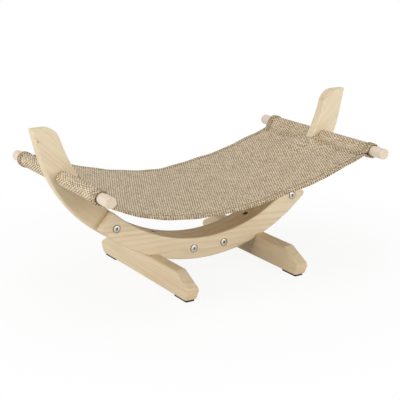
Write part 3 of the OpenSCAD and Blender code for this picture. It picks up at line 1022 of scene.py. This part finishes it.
def fastener_tree():
    """One fastener at each point, turned as the point says and then about its own axis by chance."""
    nodes, given, ids = node_tree("Set of fasteners", Fastener="Object", Seed="Int", Material="Material")
    part = nodes.node("GeometryNodeObjectInfo", inputs={"Object": given["Fastener"]})
    facing = nodes.node("GeometryNodeInputNamedAttribute", {"data_type": "FLOAT_VECTOR"}, {"Name": "facing"})
    turn = nodes.node("FunctionNodeEulerToRotation", inputs={0: facing.outputs["Attribute"]})
    placed = nodes.node(
        "GeometryNodeInstanceOnPoints",
        inputs={"Points": given["Geometry"], "Instance": part.outputs["Geometry"], "Rotation": turn},
    )
    limits = {2: 0.0, 3: math.tau, "Seed": given["Seed"]}
    chance = nodes.node("FunctionNodeRandomValue", {"data_type": "FLOAT"}, limits)
    about = nodes.node("ShaderNodeCombineXYZ", inputs={2: chance.outputs[1]})
    spun = nodes.node("GeometryNodeRotateInstances", inputs={"Instances": placed, "Rotation": about})
    return closed_tree(nodes, spun, given["Material"]), ids


def bent_board_tree():
    """A board bent to an arc in the upright plane: a section, given as a loop of edges, swept round it."""
    nodes, given, ids = node_tree(
        "Bent board", Radius="Float", Half_angle="Float", Steps="Int", Place="Vector", Material="Material"
    )
    section = nodes.node("GeometryNodeMeshToCurve", inputs={"Mesh": given["Geometry"]})
    half = Value(nodes, given["Half angle"])
    sweep = {
        "Resolution": given["Steps"],
        "Radius": given["Radius"],
        "Start Angle": -math.pi / 2 - half,
        "Sweep Angle": half * 2.0,
    }
    arc = nodes.node("GeometryNodeCurveArc", {"mode": "RADIUS"}, sweep)
    swept = nodes.node(
        "GeometryNodeCurveToMesh", inputs={"Curve": arc, "Profile Curve": section, "Fill Caps": True}
    )
    shaded = nodes.node("GeometryNodeSetShadeSmooth", inputs={"Geometry": swept})
    stood = nodes.node(
        "GeometryNodeTransform",
        inputs={"Geometry": shaded, "Translation": given["Place"], "Rotation": (math.pi / 2, 0.0, 0.0)},
    )
    return closed_tree(nodes, stood, given["Material"]), ids


# Operators, one for each piece or group of like pieces


class HAMMOCK_OT_horns(bpy.types.Operator):
    """Makes the two horn boards with their bores"""

    bl_idname = "hammock.horns"
    bl_label = "Horns"

    def execute(self, context):
        lines, bow, dowel, parts = BowLines(), sizes().bow, sizes().dowel, sizes().fasteners
        rings = eased_board(lines.horn_outline, bow.board_t, bow.edge_r, steps=8)
        turn = lines.screw_angle
        bore = [(dowel.dowel_d / 2 + dowel.run_gap, 2 * bow.board_t)]
        sunk, shank = parts.screw_head_d / 2 + parts.fit_gap, parts.screw_d / 2 + parts.fit_gap
        screw_hole = [(sunk, parts.screw_sink + parts.screw_head_h), (shank, bow.board_w + OVERCUT)]
        # low is painted shade that darkens each horn towards the floor.
        for side, name, pith, low, knot in (
            (-1, "left_horn", (-0.055, -0.03), 0.12, (0.2925, 0.2580)),
            (1, "right_horn", (-0.075, 0.03), 0.10, None),
        ):
            place = UPRIGHT if side > 0 else MIRROR_X @ UPRIGHT
            blank = new_object(name + "_board", new_mesh(name, *loft(rings), place))
            mouth = (side * lines.dowel[0], -bow.board_t / 2, lines.dowel[1])
            down = (side * math.sin(turn), 0, -math.cos(turn))
            holes = [
                drill(mouth, (0, 1, 0), bore, n=96),
                drill(lines.on_bow(side * turn, bow.bow_r), down, screw_hole, n=40),
            ]
            piece = soften(drilled(blank, holes))
            wood = pine(
                "pine_" + name,
                seed=2.0 + side,
                pith=pith,
                spacing=0.0047,
                drift=0.03 * side,
                grain=math.radians(41),
                mirror=side,
                low=low,
                knot=knot,
                hole=(turn, lines.bow[1], sunk),
            )
            finished(piece, wood, "frame", name)
        return {"FINISHED"}


class HAMMOCK_OT_cheeks(bpy.types.Operator):
    """Makes the two cheek boards that clamp the horns"""

    bl_idname = "hammock.cheeks"
    bl_label = "Cheeks"

    arc_points = 121
    end_ease, ease_steps = 0.0016, 4  # rounding of a cheek's ends
    sharp = math.radians(60)

    def execute(self, context):
        lines, bow, parts = BowLines(), sizes().bow, sizes().fasteners
        board = bent_board_tree()
        section = self.section(bow)
        edges = [(i, (i + 1) % len(section)) for i in range(len(section))]
        head = parts.head_d / 2 + parts.head_gap
        for face, name, pith, bolt_d in (
            (-1, "front_cheek", (0.012, -0.03), parts.bolt_d),
            (1, "rear_cheek", (-0.06, 0.04), parts.nut_d),
        ):
            wood = pine(
                "pine_" + name,
                seed=5.0 + face,
                pith=pith,
                spacing=0.0072,
                drift=0.035,
                grain=math.radians(2.5 * face),
            )
            values = {
                "Radius": lines.mid_r,
                "Half angle": bow.cheek_angle,
                "Steps": self.arc_points,
                "Place": (0.0, face * bow.board_t, lines.bow[1]),
                "Material": wood,
            }
            blank = grown(name + "_board", section, edges, board, values)
            eased = blank.modifiers.new("Eased ends", "BEVEL")
            eased.width, eased.segments = self.end_ease, self.ease_steps
            eased.limit_method, eased.angle_limit = "ANGLE", self.sharp
            blank = made_plain(blank, blank.name)
            steps = [(head, parts.head_h), (bolt_d / 2 + parts.fit_gap, bow.board_t + OVERCUT)]
            holes = []
            for spot in lines.bolt_spots():
                spot.y = face * lines.stack_t / 2
                holes.append(drill(spot, (0, -face, 0), steps, n=48))
            finished(soften(drilled(blank, holes)), wood, "frame", name)
        return {"FINISHED"}

    @staticmethod
    def section(bow):
        """The board's section as a loop of points, with a narrow band beside each rounding."""
        r = bow.edge_r
        loop = []
        for mid, angles in box_corners(bow.board_w / 2 - r, bow.board_t / 2 - r, steps=7):
            first, last = along(angles[0]), along(angles[-1])
            corner = [r * first - SUPPORT * last, *(r * along(a) for a in angles), r * last - SUPPORT * first]
            loop += [(*(mid + p), 0.0) for p in corner]
        return loop


class HAMMOCK_OT_feet(bpy.types.Operator):
    """Makes the two feet with their saddles"""

    bl_idname = "hammock.feet"
    bl_label = "Feet"

    def execute(self, context):
        lines, foot = BowLines(), sizes().foot
        rings = eased_board(self.outline(foot), foot.foot_t, foot.foot_edge, steps=7)
        reach, r = lines.stack_t / 2 + foot.saddle_gap, lines.out_r + foot.saddle_gap
        tub = loft([ring(r, z, n=512) for z in (-reach, reach)])
        # The right foot's darker, warmer tone is partly its own wood and partly painted shade.
        for side, name, warmth_and_shade in ((-1, "left_foot", 0.0), (1, "right_foot", 0.16)):
            place = Matrix.Translation((side * foot.foot_x, 0, foot.pad_t)) @ CROSSWISE
            blank = new_object(name + "_bar", new_mesh(name, *loft(rings), place))
            saddle = new_mesh("saddle", *tub, Matrix.Translation((0, 0, lines.bow[1])) @ UPRIGHT)
            piece = soften(drilled(blank, [saddle]))
            wood = pine(
                "pine_" + name,
                seed=9.0 + 2 * side,
                pith=(-0.035, side * 0.13),
                spacing=0.0056,
                drift=0.012 * side,
                upright=False,
                warmth_and_shade=warmth_and_shade,
            )
            finished(piece, wood, "frame", name)
        return {"FINISHED"}

    @staticmethod
    def outline(foot, least_r=0.0004, steps=8):
        """Function of d: a foot's outline from front to rear with rounded corners, drawn in by d."""
        base, nose, top = foot.foot_l / 2 - foot.nose_in, foot.foot_l / 2, foot.foot_l / 2 - foot.slope_l
        half = [(base, 0.0), (nose, foot.nose_h), (top, foot.foot_h)]
        corners = [np.array(c) for c in [(-base, 0.0), *half, *((-y, z) for y, z in reversed(half[1:]))]]

        def drawn_in(d):
            r = max(foot.corner_r - d, least_r)
            points = []
            for k, c in enumerate(corners):
                before, after = corners[k - 1] - c, corners[(k + 1) % len(corners)] - c
                before, after = before / np.linalg.norm(before), after / np.linalg.norm(after)
                opening = math.acos(float(before @ after)) / 2
                inside = (before + after) / np.linalg.norm(before + after)
                mid = c + inside * (foot.corner_r / math.sin(opening))
                first, last = np.array((before[1], -before[0])), np.array((-after[1], after[0]))
                first, last = (n if n @ inside < 0 else -n for n in (first, last))
                for t in np.linspace(0, 1, steps + 1):
                    n = first * (1 - t) + last * t
                    points.append(mid + r * n / np.linalg.norm(n))
            return points

        return drawn_in


class HAMMOCK_OT_pads(bpy.types.Operator):
    """Makes the four pads under the feet"""

    bl_idname = "hammock.pads"
    bl_label = "Pads"

    def execute(self, context):
        foot = sizes().foot
        rubber = pad_rubber()

        def outline(d):
            points = []
            for mid, angles in box_corners(foot.pad_w / 2 - foot.pad_r, foot.pad_l / 2 - foot.pad_r, steps=6):
                points += [mid + (foot.pad_r - d) * along(a) for a in angles]
            return points

        rings = eased_board(outline, foot.pad_t, foot.pad_edge, steps=4, support=0.0002)
        y = foot.foot_l / 2 - foot.nose_in - foot.pad_in - foot.pad_l / 2
        for end, first in ((-1, "front"), (1, "rear")):
            for side, second in ((-1, "left"), (1, "right")):
                node = f"{first}_{second}_pad"
                place = Matrix.Translation((side * foot.foot_x, end * y, foot.pad_t / 2))
                piece = soften(new_object(node + "_sole", new_mesh(node, *loft(rings), place)))
                finished(piece, rubber, "frame", node)
        return {"FINISHED"}


class HAMMOCK_OT_dowels(bpy.types.Operator):
    """Makes the two dowels with rounded ends"""

    bl_idname = "hammock.dowels"
    bl_label = "Dowels"

    end_l = 0.02  # from an end to the first plain ring

    def execute(self, context):
        lines, dowel = BowLines(), sizes().dowel
        r, half, e = dowel.dowel_d / 2, dowel.dowel_l / 2, dowel.end_r
        turns = np.linspace(0, math.pi / 2, 7)
        rounding = [(r - e + e * math.sin(a), half - e + e * math.cos(a)) for a in turns]
        end = [(r - e - 0.8 * SUPPORT, half), *rounding, (r, half - e - SUPPORT)]
        plain = half - self.end_l
        rows = end + [(r, z) for z in np.linspace(plain, -plain, 12)] + [(q, -z) for q, z in reversed(end)]
        rings = [ring(q, z, n=96) for q, z in reversed(rows)]
        for side, name in ((-1, "left_dowel"), (1, "right_dowel")):
            place = Matrix.Translation((side * lines.dowel[0], 0, lines.dowel[1])) @ UPRIGHT
            piece = soften(new_object(name + "_rod", new_mesh(name, *loft(rings), place)))
            finished(piece, dowel_wood("wood_" + name, 4.0 + side), name, name)
        return {"FINISHED"}


class HAMMOCK_OT_sling(bpy.types.Operator):
    """Hangs the woven sling with its sleeves, hems and notches"""

    bl_idname = "hammock.sling"
    bl_label = "Sling"

    dot_stretch = 1.25  # length of an edge stitch, as a share of its thickness

    def execute(self, context):
        s, shades = sizes().sling, sizes().finish
        surface = SlingSurface(BowLines())
        cloth = new_object("sling_cloth", surface.mesh("sling_cloth"))
        body = cloth.modifiers.new("Thickness", "SOLIDIFY")
        body.thickness, body.offset, body.use_even_offset = s.cloth_t, 0.0, True
        cloth = soften(made_plain(cloth, cloth.name), degrees=60)
        finished(cloth, sling_weave(), "frame", "sling")

        tree = stitch_tree()
        for name, lines, long, thick, shade in (
            ("seam", surface.seams(), s.stitch_l, s.stitch_d, shades.seam_thread),
            ("edge", surface.edges(), s.dot_d * self.dot_stretch, s.dot_d, shades.edge_thread),
        ):
            thread = stitch_thread(name + "_thread", shade)
            points, edges = [], []
            for line in lines:
                start = len(points)
                points += line
                edges += [(i, i + 1) for i in range(start, len(points) - 1)]
            values = {"Pitch": s.stitch_pitch, "Stitch length": long, "Thread": thick, "Material": thread}
            stitches = grown(name + "_stitches", points, edges, tree, values)
            finished(stitches, thread, "frame", None)

        width, long, area = surface.flat_size()
        return {"FINISHED"}


class HAMMOCK_OT_fasteners(bpy.types.Operator):
    """Makes the cheek bolts, their sleeve nuts and the foot screws"""

    bl_idname = "hammock.fasteners"
    bl_label = "Fasteners"

    ring_points = 48
    ease = 0.0004  # rounding of a turned edge
    tip_ease = 0.0008  # bevel of a bolt's tip
    crown = ((0.0, 0.0009), (0.00018, 0.00042), (0.0006, 0.00012), (0.0012, 0.0))  # in from a rim, down
    socket_ease = 0.0003  # bevel of a socket's mouth
    socket_floor = 0.6  # width of the inner ring on a socket's floor, as a share of the socket's
    thread_gap = 0.00005  # between a bolt and its nut
    point_r, point_l = 0.0003, 0.007  # a screw's point
    rim = (0.0003, 0.0008)  # upright rim of a screw's head, down from its top
    cross = ((0.0026, 0.0), (0.0023, 0.0006), (0.0012, 0.0022))  # reach and depth of a screw's recess
    # Painted shade in a socket and in a screw's cross: how dark the last rings are.
    socket_shade = (0.8, 1.0, 0.45)  # how dark the last rings are
    cross_shade = (0.8, 0.8, 0.9, 1.0, 1.0)

    def execute(self, context):
        lines, parts, bow = BowLines(), sizes().fasteners, sizes().bow
        steel, tree = bolt_steel(), fastener_tree()
        out = Vector((0.0, lines.stack_t / 2 + parts.head_rise, 0.0))
        bolt_spots = [(p - out, (math.pi / 2, 0, 0)) for p in lines.bolt_spots()]
        nut_spots = [(p + out, (-math.pi / 2, 0, 0)) for p in lines.bolt_spots()]
        leans = (-lines.screw_angle, lines.screw_angle)
        screw_spots = [(lines.on_bow(a, bow.bow_r + parts.screw_sink), (0, -a, 0)) for a in leans]
        for name, rows, spots, shaded_rings in (
            ("cheek_bolts", self.bolt(parts), bolt_spots, self.socket_shade),
            ("cheek_nuts", self.nut(parts), nut_spots, self.socket_shade),
            ("foot_screws", self.screw(parts), screw_spots, self.cross_shade),
        ):
            rings = [ring(r, z, self.ring_points) for r, z in rows]
            mesh = new_mesh(name + "_pattern", *loft(rings))
            # recess carries painted shade on the last rings of a socket or cross.
            recess = mesh.attributes.new("recess", "FLOAT", "POINT")
            shades = np.array([0.0] * (len(rows) - len(shaded_rings)) + list(shaded_rings), np.float32)
            recess.data.foreach_set("value", np.repeat(shades, self.ring_points))
            pattern = soften(new_object(name + "_pattern", mesh), degrees=30)
            values = {"Fastener": pattern, "Seed": parts.seed, "Material": steel}
            places, facing = zip(*spots)
            piece = grown(name + "_set", places, [], tree, values, {"facing": facing})
            discard(pattern)
            finished(piece, steel, "frame", name)
        return {"FINISHED"}

    def head(self, parts):
        """Rows (radius, height) of a flat head from its underside to the floor of its hexagonal socket."""
        r, h, w, deep = parts.head_d / 2, parts.head_h, parts.socket_w, parts.socket_h
        rows = [(r - self.ease, -h), (r, self.ease - h), *((r - back, -down) for back, down in self.crown)]
        rows += [(hexagon(w + 2 * self.socket_ease), 0.0), (hexagon(w), -self.socket_ease)]
        return [*rows, (hexagon(w), -deep), (hexagon(w * self.socket_floor), -deep)]

    def bolt(self, parts):
        r, end = parts.bolt_d / 2, -parts.head_h - parts.bolt_l
        return [(r - self.tip_ease, end), (r, end + self.tip_ease), (r, -parts.head_h), *self.head(parts)]

    def nut(self, parts):
        r, end, bore = parts.nut_d / 2, -parts.head_h - parts.nut_l, parts.bolt_d / 2 + self.thread_gap
        hollow = [(bore, -parts.head_h), (bore, end + self.ease), (bore + self.ease, end)]
        return [*hollow, (r - self.ease, end), (r, end + self.ease), (r, -parts.head_h), *self.head(parts)]

    def screw(self, parts):
        r, head, end = parts.screw_d / 2, parts.screw_head_d / 2, -parts.screw_l
        rows = [(self.point_r, end), (r, end + self.point_l), (r, -parts.screw_head_h)]
        rows += [(head, -self.rim[1]), (head, -self.rim[0]), (head - self.ease, 0.0)]
        return rows + [(self.crossed(reach), -deep) for reach, deep in self.cross]

    @staticmethod
    def crossed(reach):
        """Radius of a cross with four rounded arms, as a function of the angle."""
        return lambda a: reach * (0.42 + 0.58 * abs(math.cos(2 * a)) ** 5)


class HAMMOCK_OT_stage(bpy.types.Operator):
    """Sets the floor, the lights and the camera"""

    bl_idname = "hammock.stage"
    bl_label = "Stage"

    aim = (0.0, 0.0, 0.13)  # what the lights point at
    floor_half = 20.0
    sensor_w = 36.0  # of the camera, in millimetres

    def execute(self, context):
        look, scene = sizes().stage, context.scene
        scene.view_settings.view_transform = "Standard"
        self.floor(look)
        self.world(scene, look)
        for name, watts, place, size in (
            ("key_light", look.key, (-2.4, 0.0, 1.0), 1.6),
            ("fill_light", look.fill, (0.8, -2.45, 0.4), 1.8),
            ("top_light", look.top, (0.1, 0.3, 2.0), 1.6),
        ):
            lamp = bpy.data.lights.new(name, "AREA")
            lamp.shape, lamp.size, lamp.energy = "DISK", size, watts
            light = new_object(name, lamp)
            light.location = place
            light.rotation_euler = (Vector(self.aim) - Vector(place)).to_track_quat("-Z", "Y").to_euler()
        self.camera(scene, look)
        return {"FINISHED"}

    @staticmethod
    def white_to_camera(nodes, shaded, output, share=0.0):
        """Links an output: white in the picture and in reflections, but for a share of the shading."""
        path = nodes.node("ShaderNodeLightPath")
        seen = Value(nodes, path.outputs["Is Camera Ray"])
        for ray in ("Is Glossy Ray", "Is Transmission Ray"):
            seen = seen.math("MAXIMUM", path.outputs[ray])
        white = nodes.node("ShaderNodeEmission", inputs={"Color": (1, 1, 1, 1), "Strength": 1.0})
        mixed = nodes.node("ShaderNodeMixShader", inputs={0: seen * (1.0 - share), 1: shaded, 2: white})
        nodes.tree.links.new(mixed.outputs[0], nodes.tree.nodes[output].inputs["Surface"])

    def floor(self, look):
        h = self.floor_half
        corners = [(-h, -h, 0), (h, -h, 0), (h, h, 0), (-h, h, 0)]
        floor = new_object("floor", new_mesh("floor", corners, [(0, 1, 2, 3)]))
        paper = Finish("studio_paper", roughness=0.9, specular_ior_level=0.1)
        x, y, _ = paper.place()
        fleck = paper.noise(x * 9.0, y * 9.0)
        paper.feed(base_color=paper.mix(fleck, (0.90, 0.90, 0.89), (0.93, 0.93, 0.92)))
        near = 1.0 - distance(x, y).eased(look.shadow_r * 0.4, look.shadow_r)
        self.white_to_camera(paper, paper.shader, "Material Output", near * look.shadow)
        floor.data.materials.append(paper.material)

    def world(self, scene, look):
        world = bpy.data.worlds.new("studio")
        world.use_nodes = True
        scene.world = world
        room = world.node_tree.nodes["Background"]
        room.inputs["Color"].default_value = (1.0, 0.99, 0.97, 1.0)
        room.inputs["Strength"].default_value = look.room
        self.white_to_camera(Nodes(world.node_tree), room, "World Output")

    def camera(self, scene, look):
        yaw, pitch, roll = look.yaw, look.pitch, look.roll
        ahead = Vector((math.sin(yaw) * math.cos(pitch), math.cos(yaw) * math.cos(pitch), -math.sin(pitch)))
        right = Vector((math.cos(yaw), -math.sin(yaw), 0.0))
        up = right.cross(ahead)
        across = right * math.cos(roll) + up * math.sin(roll)
        upward = up * math.cos(roll) - right * math.sin(roll)
        data = bpy.data.cameras.new("camera")
        data.lens, data.sensor_width, data.shift_y = look.lens, self.sensor_w, look.rise
        camera = new_object("camera", data)
        turn = Matrix((across, upward, -ahead)).transposed().to_4x4()
        camera.matrix_world = Matrix.Translation(look.place) @ turn
        scene.camera = camera


class HAMMOCK_PT_pieces(bpy.types.Panel):
    """Lists the pieces in the order in which they are made"""

    bl_idname = "HAMMOCK_PT_pieces"
    bl_label = "Hammock"
    bl_space_type = "VIEW_3D"
    bl_region_type = "UI"
    bl_category = "Hammock"

    def draw(self, context):
        for operator in OPERATORS:
            self.layout.operator(operator.bl_idname)


GROUPS = (
    HammockBow,
    HammockFoot,
    HammockDowel,
    HammockSling,
    HammockFasteners,
    HammockFinish,
    HammockStage,
    HammockSizes,
)
OPERATORS = (
    HAMMOCK_OT_stage,
    HAMMOCK_OT_horns,
    HAMMOCK_OT_cheeks,
    HAMMOCK_OT_feet,
    HAMMOCK_OT_pads,
    HAMMOCK_OT_dowels,
    HAMMOCK_OT_sling,
    HAMMOCK_OT_fasteners,
)


def register():
    for each in (*GROUPS, *OPERATORS, HAMMOCK_PT_pieces):
        bpy.utils.register_class(each)
    bpy.types.Scene.hammock = PointerProperty(type=HammockSizes)


def unregister():
    del bpy.types.Scene.hammock
    for each in reversed((*GROUPS, *OPERATORS, HAMMOCK_PT_pieces)):
        bpy.utils.unregister_class(each)


def main():
    register()
    bpy.ops.hammock.stage()
    bpy.ops.hammock.horns()
    bpy.ops.hammock.cheeks()
    bpy.ops.hammock.feet()
    bpy.ops.hammock.pads()
    bpy.ops.hammock.dowels()
    bpy.ops.hammock.sling()
    bpy.ops.hammock.fasteners()


if __name__ == "__main__":
    main()
